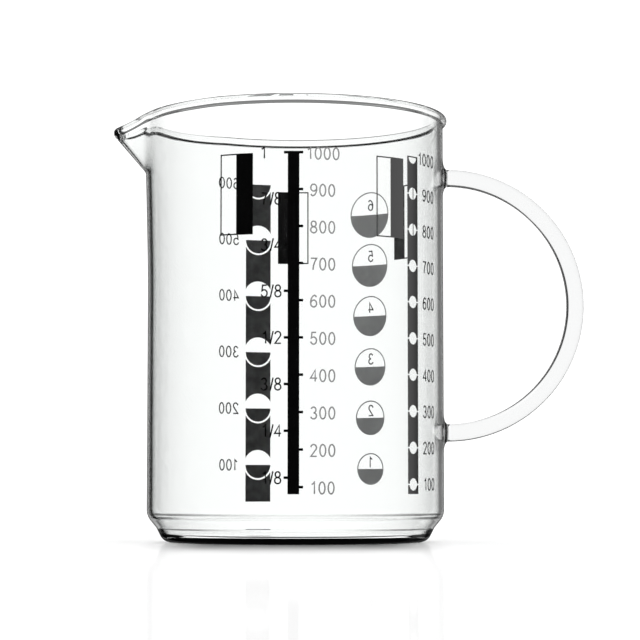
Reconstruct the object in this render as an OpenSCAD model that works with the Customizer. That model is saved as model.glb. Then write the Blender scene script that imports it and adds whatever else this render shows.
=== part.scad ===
// Clear glass measuring jug with a stepped foot, a beaded rim, a pulled spout,
// a bent glass rod handle and four scales of fired enamel on the outside of the wall.
// Z is up and the origin is on the jug's axis, on the table.
// The spout points to -X, the handle to +X, and the litre scale faces -Y.

/* [Vessel] */
// Outer radius of the straight wall
wall_r = 53; // [46:0.5:60]
// Height of the rim
jug_h = 152.5; // [140:0.5:170]
// Thickness of the wall
wall_t = 1.8; // [1.6:0.1:2.4]
// Thickness of the floor
floor_t = 2.6; // [2:0.2:3.6]
// Diameter of the fire-polished bead along the rim
bead_d = 3.2; // [2.8:0.1:4]

/* [Foot] */
// Height at which the straight wall begins
base_h = 11.5; // [10.5:0.5:14]
// Height of the leaning foot under the step
foot_h = 5.1; // [4:0.1:6.5]
// Radius of the rounded bottom edge
foot_edge_r = 4; // [2:0.5:5]
// Radius of the shoulder between the step and the wall
shoulder_r = 6; // [4:0.5:8]
// Radius of the inside corner round the floor
floor_corner_r = 2.4; // [1:0.2:3]
// Lean of the foot's side from level, in degrees
foot_lean = 63; // [55:1:75]
// Lean of the step from level, in degrees
step_lean = 51; // [45:1:60]

/* [Spout] */
// Length of the spout from the drawn wall to its tip
spout_len = 9.9; // [7:0.1:11]
// Half of the spout's width where its reach has fallen to about a third
spout_half_w = 10.4; // [9:0.1:12]
// Height of the spout, from the rim down to where it leaves the wall
spout_h = 21; // [16:0.5:24]
// Height by which the spout's tip dips below the drawn rim
spout_dip_h = 3.7; // [2:0.1:6]
// Half of the rim's dip where it has fallen to about a third
dip_half_w = 11; // [9:0.1:13]
// Radius that rounds the spout's tip
tip_r = 4; // [3:0.1:6]
// Height of the wall that was drawn out with the spout
drawn_h = 60; // [40:1:70]
// Width by which the drawn wall bulges at the rim
bulge_w = 1.6; // [0:0.1:3]
// Height by which the drawn rim sinks
sink_h = 0.6; // [0:0.1:1.2]

/* [Handle] */
// Diameter of the glass rod
rod_d = 6.3; // [5:0.1:8]
// Height from the rim down to the upper weld
handle_top_h = 21.9; // [18:0.1:30]
// Height from the start of the straight wall up to the lower weld
handle_low_h = 27.3; // [18:0.1:40]
// Diameter of a weld's flare on the wall
weld_d = 14.6; // [12:0.2:18]
// Length of a weld from the wall to the rod
weld_len = 1.6; // [1.2:0.1:3]

/* [Scales] */
// Thickness of the fired enamel
film_t = 0.12; // [0.08:0.02:0.3]
// Height from the rim down to the top line of the scales
top_line_h = 20.2; // [16:0.1:30]
// Height from the start of the straight wall up to the first litre line
first_line_h = 8; // [5:0.1:12]
// Height from the start of the straight wall up to the lower end of the bars
bar_end_h = 5.6; // [2:0.1:7]
// Width of a title panel
panel_w = 12; // [10:0.1:14]
// Height of a title panel
panel_h = 27.7; // [20:0.1:34]
// Width of a printed line
line_w = 0.45; // [0.3:0.05:0.8]

/* [Litre scale] */
// Width of the litre bar
litre_bar_w = 3.9; // [3:0.1:5]
// Length of a tick beside the litre bar
tick_len = 1.3; // [0.8:0.1:2]
// Thickness of a tick
tick_w = 0.9; // [0.5:0.1:1.4]
// Gap between the litre bar and its title panel
litre_panel_gap_w = 12; // [8:0.5:16]

/* [Sugar scale] */
// Width of the sugar bar
sugar_bar_w = 5.7; // [5:0.1:7]
// Diameter of the blank dot at each level of the sugar bar
sugar_dot_d = 4.2; // [3:0.1:4.8]
// Height of the sugar levels above the litre lines
sugar_lift_h = 0.9; // [0:0.1:2]
// Gap between the sugar bar and its title panel
sugar_panel_gap_w = 2.1; // [1:0.1:4]

/* [Flour scale] */
// Width of the flour bar
flour_bar_w = 10; // [8:0.1:12]
// Width of the blank ring round each half disc
flour_ring_w = 0.65; // [0.4:0.05:1]
// Height from the start of the straight wall up to the first flour level
flour_first_h = 16.3; // [12:0.1:20]
// Height of the flour bar's top above the top line of the other scales
flour_top_h = 2.6; // [0:0.1:4]
// Height from the start of the straight wall up to the lower end of the flour bar
flour_end_h = 2.4; // [1:0.1:5]
// Gap between the flour bar and its title panel
flour_panel_gap_w = 2.9; // [1:0.1:4]

/* [Cup scale] */
// Diameter of the last cup circle as a share of the height from the wall's start to the top line
cup_size_share = 0.1445; // [0.12:0.0005:0.15]
// Size of the first cup circle as a share of the last
cup_first_share = 0.685; // [0.6:0.005:0.9]
// First cup level as a share of the height from the wall's start to the top line
cup_low_share = 0.122; // [0.1:0.001:0.14]
// Last cup level as a share of the height from the wall's start to the top line
cup_high_share = 0.919; // [0.91:0.001:0.925]
// Gap between the widest cup circle and the title panel
cup_panel_gap_w = 3.1; // [1:0.1:5]

/* [Hidden] */
$fn = 120;

glass = [0.84, 0.9, 0.92, 0.55];
enamel = [0.06, 0.06, 0.07];
grey_enamel = [0.42, 0.42, 0.43];

// Overrun of every cut past the face it opens
overrun_len = 1;
// Inset of the spout's lofted wall where it runs on inside the turned wall
seam_inset_t = 0.05;
// Reach of that overlap to either side of the seam
seam_tab_w = 0.8;
// Clearance between the wall and the enamel
film_gap_t = 0.02;
// Exponents that set how flat the tops of the spout and of the dip are, and how fast they fall
spout_power = 2;
dip_power = 2.7;
// Half of the sector that was drawn out with the spout, in degrees
drawn_half_angle = 59;
// Half of the angle over which the wall's direction in plan is read, in degrees
probe_angle = 0.05;
// Exponents that keep the drawn wall's bulge broad, end it softly and let it grow with height
broad_power = 6;
end_power = 1.5;
rise_power = 1.25;
// Share of the spout's height over which its underside bends out of the wall
spout_bend_share = 0.15;
// Exponent that gathers the lofted columns at the spout's tip
column_power = 1.6;
// Columns of the lofted wall on each side of the tip
columns = 24;
// Rows of the lofted wall below and along the spout
low_rows = 6;
high_rows = 7;
// Facets of the round cut that seats a weld on the wall
seat_fn = 720;
// Steps of a turned arc, and of the bead
arc_steps = 8;
bead_steps = 14;

// Azimuth of each scale on the wall, in degrees from the front towards the handle
litre_at = -0.8;
sugar_at = 49.6;
flour_at = 196.1;
cup_at = 146.7;
// Lines on each scale
litre_lines = 10;
eighths = 8;
sugar_lines = 10;
flour_lines = 6;
cup_lines = 6;

// Vessel
bead_r = bead_d / 2;
inner_r = wall_r - wall_t;
bead_mid = bead_r - wall_t;
bead_from = -acos((wall_t - bead_r) / bead_r);
bead_z = jug_h - bead_r;
crease_z = bead_z + bead_r * sin(bead_from);
shoulder_z = base_h - shoulder_r * cos(step_lean);
step_top_r = wall_r - shoulder_r * (1 - sin(step_lean));
waist_r = step_top_r - (shoulder_z - foot_h) / tan(step_lean);
edge_z = foot_edge_r * (1 - cos(foot_lean));
rest_r = waist_r - (foot_h - edge_z) / tan(foot_lean) - foot_edge_r * sin(foot_lean);
inner_turn = wall_t / (1 + cos(foot_lean - step_lean));
inner_waist_r = waist_r - inner_turn * (sin(step_lean) + sin(foot_lean));
inner_waist_z = foot_h + inner_turn * (cos(step_lean) + cos(foot_lean));
corner_z = floor_t + floor_corner_r * (1 - cos(foot_lean));
corner_r = inner_waist_r - (inner_waist_z - corner_z) / tan(foot_lean) - floor_corner_r * sin(foot_lean);
drawn_z = jug_h - drawn_h;
spout_z = jug_h - spout_h;
seam_angle = arc_angle(seam_tab_w);

// Handle
rod_r = rod_d / 2;
upper_weld_z = jug_h - handle_top_h;
lower_weld_z = base_h + handle_low_h;
handle_z = (upper_weld_z + lower_weld_z) / 2;
bend_r = (upper_weld_z - lower_weld_z) / 2;
rod_end_x = wall_r + weld_len;
weld_root_x = sqrt(wall_r * wall_r - weld_d * weld_d / 4) - overrun_len;

// Scales
top_z = jug_h - top_line_h;
first_z = base_h + first_line_h;
bar_end_z = base_h + bar_end_h;
litre_step = (top_z - first_z) / (litre_lines - 1);
litre_zero_z = first_z - litre_step;
flour_top_z = top_z + flour_top_h;
flour_first_z = base_h + flour_first_h;
flour_step = (flour_top_z - flour_first_z) / (flour_lines - 1);
scale_h = top_z - base_h;
cup_first_z = base_h + scale_h * cup_low_share;
cup_step = scale_h * (cup_high_share - cup_low_share) / (cup_lines - 1);
cup_last_d = scale_h * cup_size_share;
cup_first_d = cup_last_d * cup_first_share;
sugar_first_z = first_z + sugar_lift_h;
sugar_top_z = top_z + sugar_lift_h;
film_r = wall_r + film_gap_t;

// Angle on the wall that an arc of the given length covers
function arc_angle(length) = length / wall_r * 180 / PI;

// Points of an arc about a centre, from one angle to another
function arc(centre, r, from, to, steps) =
    [for (i = [0 : steps]) let (a = from + (to - from) * i / steps) centre + r * [cos(a), sin(a)]];

// Smooth bell: 1 at the spout's middle, about a third at half_w to either side
function bell(a, half_w, power) =
    let (v = wall_r * a * PI / 180)
    exp(-pow((norm([v, tip_r]) - tip_r) / (norm([half_w, tip_r]) - tip_r), power));

// Share of the drawing-out at an angle from the spout's middle: broad, then a soft end
function drawn_share(a) =
    pow(1 - pow(min(1, abs(a) / drawn_half_angle), broad_power), end_power);

// Reach of the spout and dip of the rim at an angle from the spout's middle
function reach_at(a) = spout_len * bell(a, spout_half_w, spout_power);
function dip_at(a) =
    sink_h * drawn_share(a) + spout_dip_h * bell(a, dip_half_w, dip_power);

// Share of the spout's reach at a share of its height: a short bend, then straight
function lean(share) =
    (share < spout_bend_share ? share * share / (2 * spout_bend_share) : share - spout_bend_share / 2)
    / (1 - spout_bend_share / 2);

// Bulge of the drawn wall at an angle and a height
function bulge_at(a, z) =
    bulge_w * drawn_share(a) * pow(max(0, z - drawn_z) / drawn_h, rise_power);

// Height and outer radius of the drawn wall at an angle and a row; rows 0 and 1 straddle the seam
function row_z(a, row) =
    row == 0 ? drawn_z - seam_tab_w
    : row <= low_rows ? drawn_z + seam_tab_w + (spout_z - drawn_z - seam_tab_w) * (row - 1) / (low_rows - 1)
    : spout_z + (crease_z - dip_at(a) - spout_z) * (row - low_rows) / high_rows;
function row_r(a, row) =
    wall_r + bulge_at(a, row_z(a, row)) + reach_at(a) * lean(max(0, row - low_rows) / high_rows);

// Point of the drawn wall in plan, and the same moved outwards across the wall
function plan(a, row) = row_r(a, row) * [-cos(a), -sin(a)];
function moved(a, row, out) =
    let (along = plan(a + probe_angle, row) - plan(a - probe_angle, row))
    plan(a, row) + out * [along[1], -along[0]] / norm(along);
function at_height(point, z) = [point[0], point[1], z];

// Closed section of the drawn wall at one column: up the outside, over the bead, down the inside
function section(a) =
    let (
        edge = abs(a) > drawn_half_angle - 2 * seam_angle,
        top = low_rows + high_rows,
        inset = edge ? seam_inset_t : 0
    )
    [
        for (row = [0 : top])
            at_height(moved(a, row, row < 2 ? -seam_inset_t : -inset), row_z(a, row)),
        for (i = [1 : bead_steps])
            let (turn = bead_from + (180 - bead_from) * i / bead_steps, r = bead_r - inset)
            at_height(moved(a, top, bead_mid + r * cos(turn)), bead_z - dip_at(a) + r * sin(turn)),
        for (row = [top : -1 : 0])
            at_height(moved(a, row, (row < 2 ? seam_inset_t : inset) - wall_t), row_z(a, row))
    ];

// Angles of the lofted columns, closest at the spout's tip
function column_angles() =
    let (
        widest = drawn_half_angle - seam_angle,
        inner = [for (i = [1 : columns]) widest * pow(i / columns, column_power)]
    )
    [
        -drawn_half_angle - seam_angle,
        for (i = [columns - 1 : -1 : 0]) -inner[i],
        0,
        for (a = inner) a,
        drawn_half_angle + seam_angle
    ];

// Triangles across an end section, between its outer and inner points
function end_faces(first, size) = [
    for (i = [0 : size / 2 - 2])
        let (a = first + i, b = first + size - 1 - i)
        each [[a, a + 1, b], [a + 1, b - 1, b]]
];

// Outline of the turned glass in radius and height
function turned_outline() = concat(
    [[0, 0]],
    arc([rest_r, foot_edge_r], foot_edge_r, -90, foot_lean - 90, arc_steps),
    [[waist_r, foot_h]],
    arc([wall_r - shoulder_r, base_h], shoulder_r, step_lean - 90, 0, arc_steps),
    arc([wall_r + bead_mid, bead_z], bead_r, bead_from, 180, bead_steps),
    arc([wall_r - shoulder_r, base_h], shoulder_r - wall_t, 0, step_lean - 90, arc_steps),
    [[inner_waist_r, inner_waist_z]],
    arc([corner_r, floor_t + floor_corner_r], floor_corner_r, foot_lean - 90, -90, arc_steps),
    [[0, floor_t]]
);

// Drawn wall with the spout and its beaded edge, lofted through the columns
module drawn_wall() {
    sections = [for (a = column_angles()) section(a)];
    size = len(sections[0]);
    last = len(sections) - 1;
    polyhedron(
        points = [for (s = sections) each s],
        faces = [
            for (f = end_faces(0, size)) [f[2], f[1], f[0]],
            for (j = [0 : last - 1], i = [0 : size - 1])
                let (a = j * size + i, b = j * size + (i + 1) % size)
                each [[a, b, a + size], [b, b + size, a + size]],
            each end_faces(last * size, size)
        ]
    );
}

// Sector of the turned wall that the drawn wall takes the place of
module drawn_sector() {
    rotate(180 - drawn_half_angle)
        rotate_extrude(angle = 2 * drawn_half_angle)
            translate([inner_r - overrun_len, drawn_z])
                square([bead_d + 2 * overrun_len, drawn_h + overrun_len]);
}

module glass_vessel() {
    color(glass) union() {
        difference() {
            rotate_extrude() polygon(turned_outline());
            drawn_sector();
        }
        drawn_wall();
    }
}

module handle_rod() {
    color(glass)
        translate([rod_end_x, 0, handle_z])
            rotate([90, 0, 0])
                rotate(-90)
                    rotate_extrude(angle = 180) translate([bend_r, 0]) circle(r = rod_r);
}

// Concave flare from the wall to the rod, seated on the round wall
module weld(z) {
    flare = weld_d / 2 - rod_r;
    color(glass) difference() {
        translate([0, 0, z]) rotate([0, 90, 0]) rotate_extrude()
            polygon(concat(
                [[0, rod_end_x], [0, weld_root_x], [weld_d / 2, weld_root_x]],
                [for (i = [0 : arc_steps]) let (a = 90 * i / arc_steps)
                    [rod_r + flare * (1 - sin(a)), rod_end_x - weld_len * cos(a)]]
            ));
        cylinder(r = wall_r, h = jug_h, $fn = seat_fn);
    }
}

module upper_handle_weld() {
    weld(upper_weld_z);
}

module lower_handle_weld() {
    weld(lower_weld_z);
}

// Patch of enamel on the wall: arc lengths to the right of an azimuth, and heights
module film(at, left, right, low, high) {
    rotate(at - 90 + arc_angle(left))
        rotate_extrude(angle = arc_angle(right - left))
            translate([film_r, low]) square([film_t, high - low]);
}

// Block through the enamel that leaves a blank in it
module blank(at, left, right, low, high) {
    rotate(at - 90 + arc_angle(left))
        rotate_extrude(angle = arc_angle(right - left))
            translate([inner_r, low]) square([wall_t + film_t + overrun_len, high - low]);
}

// Round bar through the wall, square to it, for dots and circles in the enamel
module across_wall(at, z, r) {
    rotate(at - 90) translate([inner_r - overrun_len, 0, z]) rotate([0, 90, 0])
        cylinder(r = r, h = wall_t + film_t + 3 * overrun_len);
}

// Part of a disc of enamel between two heights
module film_disc(at, z, r, low, high) {
    intersection() {
        film(at, -r - overrun_len, r + overrun_len, low, high);
        across_wall(at, z, r);
    }
}

// Title panel whose right edge is an arc length from an azimuth: left half lined, right half filled
module title_panel(at, right) {
    low = top_z - panel_h;
    left = right - panel_w;
    color(enamel) difference() {
        film(at, left, right, low, top_z);
        blank(at, left + line_w, right - panel_w / 2, low + line_w, top_z - line_w);
    }
}

function litre_z(share) = litre_zero_z + litre_step * litre_lines * share;

// Blanks beside the litre bar, between the ticks of one side
module tick_blanks(count, left, right) {
    for (i = [0 : count - 1])
        blank(litre_at, left, right,
            i == 0 ? bar_end_z - overrun_len : litre_z(i / count) + tick_w / 2,
            litre_z((i + 1) / count) - tick_w / 2);
}

module litre_scale_bar() {
    half = litre_bar_w / 2;
    side = half + tick_len;
    color(enamel) difference() {
        film(litre_at, -side, side, bar_end_z, top_z + tick_w / 2);
        tick_blanks(litre_lines, half, side + overrun_len);
        tick_blanks(eighths, -side - overrun_len, -half);
    }
}

module litre_title_panel() {
    title_panel(litre_at, -litre_bar_w / 2 - litre_panel_gap_w);
}

module sugar_scale_bar() {
    half = sugar_bar_w / 2;
    color(enamel) difference() {
        film(sugar_at, -half, half, bar_end_z, sugar_top_z + line_w);
        for (i = [1 : sugar_lines - 1])
            across_wall(sugar_at, sugar_first_z + litre_step * (i - 1), sugar_dot_d / 2);
        intersection() {
            across_wall(sugar_at, sugar_top_z, sugar_dot_d / 2);
            cylinder(r = wall_r + wall_t, h = sugar_top_z);
        }
        for (i = [1 : sugar_lines - 1])
            let (z = sugar_first_z + litre_step * (i - 1))
            blank(sugar_at, -half - overrun_len, half + overrun_len, z - line_w / 2, z + line_w / 2);
    }
}

module sugar_title_panel() {
    title_panel(sugar_at, -sugar_bar_w / 2 - sugar_panel_gap_w);
}

module flour_scale_bar() {
    half = flour_bar_w / 2;
    color(enamel) union() {
        difference() {
            film(flour_at, -half, half, base_h + flour_end_h, flour_top_z);
            for (i = [0 : flour_lines - 1])
                across_wall(flour_at, flour_first_z + flour_step * i, half + flour_ring_w);
        }
        for (i = [0 : flour_lines - 1])
            let (z = flour_first_z + flour_step * i)
            film_disc(flour_at, z, half, z - half - overrun_len, z);
    }
}

module flour_title_panel() {
    title_panel(flour_at, -flour_bar_w / 2 - flour_panel_gap_w);
}

module cup_title_panel() {
    title_panel(cup_at, -cup_last_d / 2 - cup_panel_gap_w);
}

// Circle of the given count: a ring, with its lower half filled up to the level
module cup_mark(count) {
    r = (cup_first_d + (cup_last_d - cup_first_d) * (count - 1) / (cup_lines - 1)) / 2;
    z = cup_first_z + cup_step * (count - 1);
    color(grey_enamel) difference() {
        film_disc(cup_at, z, r, z - r - overrun_len, z + r + overrun_len);
        intersection() {
            blank(cup_at, -r, r, z, z + r);
            across_wall(cup_at, z, r - line_w);
        }
    }
}

glass_vessel();
handle_rod();
upper_handle_weld();
lower_handle_weld();
litre_scale_bar();
litre_title_panel();
sugar_scale_bar();
sugar_title_panel();
flour_scale_bar();
flour_title_panel();
cup_title_panel();
for (i = [1 : cup_lines])
    cup_mark(i);
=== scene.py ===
"""Looks of the glass measuring jug: clear glass, fired enamel scales and a bright studio.

Lengths of the jug are in millimetres, as in the part's source, and MM turns them into metres.
Lengths of the studio are in metres.
Z is up, the spout points to -X, the handle to +X and the litre scale faces -Y.
"""

import math

import bmesh
import bpy
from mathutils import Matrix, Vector


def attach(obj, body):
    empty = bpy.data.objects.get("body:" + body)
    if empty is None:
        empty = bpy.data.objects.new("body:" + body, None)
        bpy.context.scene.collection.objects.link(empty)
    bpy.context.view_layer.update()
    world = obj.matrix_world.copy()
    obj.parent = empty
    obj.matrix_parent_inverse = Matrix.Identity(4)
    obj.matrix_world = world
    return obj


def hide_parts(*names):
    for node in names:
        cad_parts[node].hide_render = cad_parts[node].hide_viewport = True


MM = 0.001

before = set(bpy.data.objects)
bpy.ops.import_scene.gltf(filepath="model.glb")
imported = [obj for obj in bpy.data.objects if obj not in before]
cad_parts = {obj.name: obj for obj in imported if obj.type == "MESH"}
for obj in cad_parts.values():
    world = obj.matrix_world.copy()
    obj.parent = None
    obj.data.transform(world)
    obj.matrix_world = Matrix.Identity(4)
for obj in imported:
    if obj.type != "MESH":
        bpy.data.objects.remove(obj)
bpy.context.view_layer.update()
scene = bpy.context.scene

# Vessel
WALL_R = 53.0
JUG_H = 152.5
WALL_T = 1.8
FLOOR_T = 2.6
BEAD_R = 1.6
BASE_H = 11.5
FOOT_H = 5.1
FOOT_EDGE_R = 4.0
SHOULDER_R = 6.0
FLOOR_CORNER_R = 2.4
FOOT_LEAN = math.radians(63)
STEP_LEAN = math.radians(51)
# Fillets of the fire-polished glass, under the bead and at the waist
CREASE_R = 0.8
WAIST_R = 1.5

# Spout and drawn wall
SPOUT_REACH = 9.9
SPOUT_HALF_W = 10.4
SPOUT_H = 21.0
SPOUT_DROP = 3.7
DIP_HALF_W = 11.0
TIP_R = 4.0
DRAWN_H = 60.0
DRAWN_BULGE = 1.6
DRAWN_DROP = 0.6
SPOUT_POWER = 2.0
DIP_POWER = 2.7
DRAWN_HALF_ANGLE = 59.0
BEND_SHARE = 0.15
BROAD_POWER = 6
END_POWER = 1.5
RISE_POWER = 1.25

# Shallow hollow under the foot
HOLLOW_H = 0.35
HOLLOW_POWER = 6

# Points along a section of the vessel and round it
HOLLOW_SHARES = (0.0, 0.2, 0.4, 0.6, 0.75, 0.86, 0.94)
FLOOR_SHARES = (0.9, 0.7, 0.45, 0.2, 0.0)
FOOT_STEPS = 10
WAIST_STEPS = 5
SHOULDER_STEPS = 14
WALL_ROWS = 30
SPOUT_ROWS = 22
CREASE_STEPS = 6
BEAD_STEPS = 18
NEAR_ANGLE = 22
NEAR_COLUMNS = 44
NEAR_POWER = 1.3
FAR_ANGLE = 180 - NEAR_ANGLE
FAR_COLUMNS = 130
FAR_POWER = 1.12
# Degrees to either side that give the direction along the wall
PROBE_ANGLE = 0.05

# Handle
ROD_R = 3.15
UPPER_WELD_Z = 130.6
LOWER_WELD_Z = 38.8
WELD_D = 14.6
WELD_L = 1.6
WELD_STEPS = 18
WELD_ROOT_SHARES = (0.3, 0.6, 0.85)
WELD_END_SHARES = (0.75, 0.4)
ROD_STEPS = 130
ROD_END_SHARE = 0.5
AROUND = 64
TURNS = [2 * math.pi * k / AROUND for k in range(AROUND)]
# Gap that keeps the welds clear of the wall and the rod
SEAM = 0.01

# Scales; a film reaches a little into the wall and out of it
FILM_IN = 0.05
FILM_OUT = 0.05
TOP_Z = 132.3
FIRST_Z = 19.5
BAR_END_Z = 17.1
PANEL_W = 12.0
PANEL_H = 27.7
LINE_W = 0.45
LINE_ML = 100
# Widest strip of a film that lies flat, and how near a cut takes up a point
STRIP_W = 0.75
CUT_GAP = 1e-5

# Litre scale
LITRE_AT = -0.8
LITRE_LINES = 10
EIGHTHS = ("1/8", "1/4", "3/8", "1/2", "5/8", "3/4", "7/8", "1")
LITRE_STEP = (TOP_Z - FIRST_Z) / (LITRE_LINES - 1)
LITRE_ZERO = FIRST_Z - LITRE_STEP
LITRE_HALF_W = 1.95
LITRE_PANEL_GAP = 12.0
TICK_L = 1.3
TICK_W = 0.9

# Sugar scale
SUGAR_AT = 49.6
SUGAR_LIFT = 0.9
SUGAR_HALF_W = 2.85
SUGAR_DOT_R = 2.1
SUGAR_DOT_STEPS = 24
SUGAR_PANEL_GAP = 2.1

# Flour scale
FLOUR_AT = 196.1
FLOUR_LINES = 6
FLOUR_FIRST_Z = 27.8
FLOUR_TOP_Z = 134.9
FLOUR_END_Z = 13.9
FLOUR_STEP = (FLOUR_TOP_Z - FLOUR_FIRST_Z) / (FLOUR_LINES - 1)
FLOUR_HALF_W = 5.0
FLOUR_RING_W = 0.65
FLOUR_DISC_STEPS = 36
FLOUR_PANEL_GAP = 2.9

# Cup scale
CUP_AT = 146.7
CUPS = 6
CUP_LOW_SHARE = 0.122
CUP_HIGH_SHARE = 0.919
CUP_SIZE_SHARE = 0.1445
CUP_SMALL_SHARE = 0.685
SCALE_H = TOP_Z - BASE_H
CUP_FIRST_Z = BASE_H + SCALE_H * CUP_LOW_SHARE
CUP_LAST_Z = BASE_H + SCALE_H * CUP_HIGH_SHARE
CUP_LAST_D = SCALE_H * CUP_SIZE_SHARE
CUP_FIRST_D = CUP_LAST_D * CUP_SMALL_SHARE
CUP_STEPS = 48
CUP_PANEL_GAP = 3.1

# Figures: their height, the arc length from the middle of their scale, and in shares of the height
# the width of a stroke, the pitch and the gap that it holds
FIGURE_H = 4.3
CUP_FIGURE_H = 4.2
LITRE_NUMBER_U = 5.6
LITRE_LAST_U = 4.3
LITRE_NUMBER_DROP = 0.3
SUGAR_NUMBER_U = 15.0
FLOUR_NUMBER_U = 8.0
PART_U = -3.8
PART_LAST_U = -9.0
CUP_NUMBER_SHARE = 0.42
STROKE_SHARE = 0.115
PITCH_SHARE = 0.72
GAP_SHARE = 0.1
PITCH_SHARES = {"1": 0.66, "/": 0.36}
CURVE_STEPS = 18
# How near the ends of a closed stroke lie, and the least cosine of a mitre
CLOSED_GAP = 1e-6
LEAST_MITRE = 0.5


# Formulas of the vessel, the same as in the part's source

def bell(a, half_w, power):
    v = WALL_R * math.radians(a)
    far = (math.hypot(v, TIP_R) - TIP_R) / (math.hypot(half_w, TIP_R) - TIP_R)
    return math.exp(-far ** power)


def reach_at(a):
    return SPOUT_REACH * bell(a, SPOUT_HALF_W, SPOUT_POWER)


def drawn_share(a):
    return (1 - min(1.0, abs(a) / DRAWN_HALF_ANGLE) ** BROAD_POWER) ** END_POWER


def dip_at(a):
    return DRAWN_DROP * drawn_share(a) + SPOUT_DROP * bell(a, DIP_HALF_W, DIP_POWER)


def lean(share):
    b = BEND_SHARE
    bent = share * share / (2 * b) if share < b else share - b / 2
    return bent / (1 - b / 2)


def bulge_at(a, z):
    rise = max(0.0, z - (JUG_H - DRAWN_H)) / DRAWN_H
    return DRAWN_BULGE * drawn_share(a) * rise ** RISE_POWER


def plan(a, z, share):
    r = WALL_R + bulge_at(a, z) + reach_at(a) * lean(share)
    return Vector((-math.cos(math.radians(a)) * r, -math.sin(math.radians(a)) * r))


def arc(centre, r, start, end, steps):
    """Points of an arc in radius and height, both ends included; angles in radians."""
    return [
        (centre[0] + r * math.cos(start + (end - start) * i / steps),
         centre[1] + r * math.sin(start + (end - start) * i / steps))
        for i in range(steps + 1)
    ]


def rounded_corner(before, corner, after, r, steps):
    """Points of a fillet of radius r at a corner between two straight stretches."""
    u = (Vector(before) - Vector(corner)).normalized()
    w = (Vector(after) - Vector(corner)).normalized()
    half = math.acos(max(-1.0, min(1.0, u.dot(w)))) / 2
    run = r / math.tan(half)
    middle = Vector(corner) + (u + w).normalized() * (r / math.sin(half))
    first = Vector(corner) + u * run - middle
    last = Vector(corner) + w * run - middle
    turn = first.angle_signed(last)
    start = math.atan2(first.y, first.x)
    return arc(middle, r, start, start - turn, steps)


STEP_TOP_R = WALL_R - SHOULDER_R * (1 - math.sin(STEP_LEAN))
SHOULDER_Z = BASE_H - SHOULDER_R * math.cos(STEP_LEAN)
WAIST_AT_R = STEP_TOP_R - (SHOULDER_Z - FOOT_H) / math.tan(STEP_LEAN)
EDGE_Z = FOOT_EDGE_R * (1 - math.cos(FOOT_LEAN))
REST_R = WAIST_AT_R - (FOOT_H - EDGE_Z) / math.tan(FOOT_LEAN) - FOOT_EDGE_R * math.sin(FOOT_LEAN)
INNER_STEP_R = STEP_TOP_R - WALL_T * math.sin(STEP_LEAN)
INNER_STEP_Z = SHOULDER_Z + WALL_T * math.cos(STEP_LEAN)
FOOT_IN_R = WAIST_AT_R - WALL_T * math.sin(FOOT_LEAN)
FOOT_IN_Z = FOOT_H + WALL_T * math.cos(FOOT_LEAN)
STEP_RUN = 1 / math.tan(STEP_LEAN)
FOOT_RUN = 1 / math.tan(FOOT_LEAN)
INNER_WAIST_Z = (
    FOOT_IN_R - FOOT_IN_Z * FOOT_RUN - INNER_STEP_R + INNER_STEP_Z * STEP_RUN
) / (STEP_RUN - FOOT_RUN)
INNER_WAIST_R = FOOT_IN_R + (INNER_WAIST_Z - FOOT_IN_Z) * FOOT_RUN
CORNER_Z = FLOOR_T + FLOOR_CORNER_R * (1 - math.cos(FOOT_LEAN))
CORNER_R = FOOT_IN_R + (CORNER_Z - FOOT_IN_Z) * FOOT_RUN - FLOOR_CORNER_R * math.sin(FOOT_LEAN)
BEAD_MID = BEAD_R - WALL_T
BEAD_Z = JUG_H - BEAD_R
SPOUT_Z = JUG_H - SPOUT_H
# The fillet under the bead touches the wall at a height, and the bead at an angle
CREASE_DROP = math.sqrt((BEAD_R + CREASE_R) ** 2 - (CREASE_R - BEAD_MID) ** 2)
CREASE_TURN = math.atan2(-CREASE_DROP, CREASE_R - BEAD_MID)
WALL_TOP_Z = BEAD_Z - CREASE_DROP


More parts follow.
